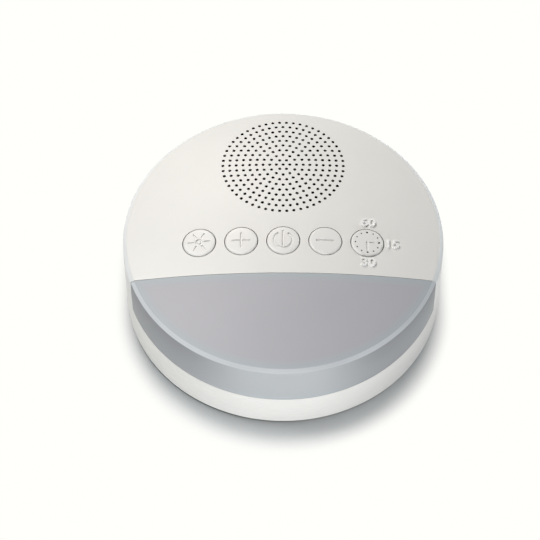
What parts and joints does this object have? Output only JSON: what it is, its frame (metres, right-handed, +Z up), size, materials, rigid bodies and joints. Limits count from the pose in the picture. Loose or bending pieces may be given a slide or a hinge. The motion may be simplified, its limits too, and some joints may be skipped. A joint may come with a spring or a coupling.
{
  "type": "white noise sound machine",
  "caption": "Round table-top sound machine with a domed top, a ring-patterned speaker grille, a row of push buttons and a frosted night light at the front.",
  "frame": {"origin": "on the table under the centre of the round body", "axes": "+Z up, -Y towards the night light at the front, +X to the right when facing it"},
  "size_m": [0.09, 0.09, 0.031],
  "materials": {
    "shell_white": "fine satin moulded ABS",
    "cap_white": "satin moulded ABS",
    "diffuser_frosted": "frosted translucent polycarbonate",
    "foot_rubber": "matt silicone rubber",
    "screw_steel": "zinc plated",
    "steel_plate": "zinc plated",
    "light_pipe": "smoked clear acrylic",
    "plunger_black": "satin",
    "switch_black": "satin",
    "lamp_body": "white package with a phosphor face",
    "board_green": "solder resist",
    "board_white": "white solder resist",
    "chip_black": "matt epoxy",
    "capacitor_can": "drawn can",
    "socket_ivory": "nylon",
    "plug_white": "nylon",
    "baffle_white": "matt reflector",
    "cloth_black": "acoustic cloth",
    "gasket_foam": "closed-cell foam",
    "basket_black": "black powder coat",
    "surround_rubber": "butyl rubber",
    "cone_paper": "pressed paper",
    "coil_copper": "enamelled copper wire",
    "spider_cloth": "resin-dipped cotton",
    "magnet_ferrite": "sintered ferrite",
    "terminal_board": "phenolic paper",
    "cell_foil": "laminated pouch foil",
    "tape_foam": "foam tape",
    "polyimide_tape": "polyimide tape over a small board",
    "socket_steel": "nickel plated",
    "tongue_black": "glass-filled nylon",
    "wire_insulation": "silicone insulation"
  },
  "bodies": {
    "case": {"upper_housing": "shell_white", "night_light_diffuser": "diffuser_frosted", "base_shell": "shell_white", "rubber_feet": "foot_rubber", "housing_screws": "screw_steel", "switch_bodies": "switch_black", "timer_leds": "lamp_body", "main_board": "board_green", "board_screws": "screw_steel", "board_chips": "chip_black", "board_capacitors": "capacitor_can", "lead_sockets": "socket_ivory", "lead_plugs": "plug_white", "light_baffle": "baffle_white", "light_board": "board_white", "night_light_leds": "lamp_body", "light_board_screws": "screw_steel", "dust_cloth": "cloth_black", "speaker_gasket": "gasket_foam", "speaker_frame": "basket_black", "speaker_surround": "surround_rubber", "speaker_spider": "spider_cloth", "speaker_top_plate": "steel_plate", "speaker_magnet": "magnet_ferrite", "speaker_yoke": "steel_plate", "speaker_terminals": "terminal_board", "speaker_screws": "screw_steel", "battery_cell": "cell_foil", "battery_tape": "tape_foam", "battery_protection_board": "polyimide_tape", "charge_board": "board_green", "charge_board_screws": "screw_steel", "charge_chip": "chip_black", "usb_socket": "socket_steel", "usb_tongue": "tongue_black", "battery_lead": "wire_insulation", "charge_lead": "wire_insulation", "speaker_lead": "wire_insulation", "light_lead": "wire_insulation"},
    "light_key": {"light_button": "cap_white", "light_switch_plunger": "plunger_black"},
    "volume_up_key": {"volume_up_button": "cap_white", "volume_up_switch_plunger": "plunger_black"},
    "power_key": {"power_button": "cap_white", "power_switch_plunger": "plunger_black"},
    "volume_down_key": {"volume_down_button": "cap_white", "volume_down_switch_plunger": "plunger_black"},
    "timer_key": {"timer_button": "cap_white", "timer_switch_plunger": "plunger_black", "timer_light_pipes": "light_pipe"},
    "cone": {"speaker_cone": "cone_paper", "speaker_dust_cap": "cone_paper", "voice_coil": "coil_copper"}
  },
  "joints": [
    {"name": "light_press", "type": "slide", "parent": "case", "child": "light_key", "axis": [0, 0, -1], "range_m": [0, 0.0004], "stiffness_N_per_m": 600},
    {"name": "volume_up_press", "type": "slide", "parent": "case", "child": "volume_up_key", "axis": [0, 0, -1], "range_m": [0, 0.0004], "stiffness_N_per_m": 600},
    {"name": "power_press", "type": "slide", "parent": "case", "child": "power_key", "axis": [0, 0, -1], "range_m": [0, 0.0004], "stiffness_N_per_m": 600},
    {"name": "volume_down_press", "type": "slide", "parent": "case", "child": "volume_down_key", "axis": [0, 0, -1], "range_m": [0, 0.0004], "stiffness_N_per_m": 600},
    {"name": "timer_press", "type": "slide", "parent": "case", "child": "timer_key", "axis": [0, 0, -1], "range_m": [0, 0.0004], "stiffness_N_per_m": 600},
    {"name": "cone_travel", "type": "slide", "parent": "case", "child": "cone", "axis": [0, 0, 1], "range_m": [-0.0004, 0.0004], "stiffness_N_per_m": 600, "deforming": ["speaker_surround", "speaker_spider"]}
  ]
}
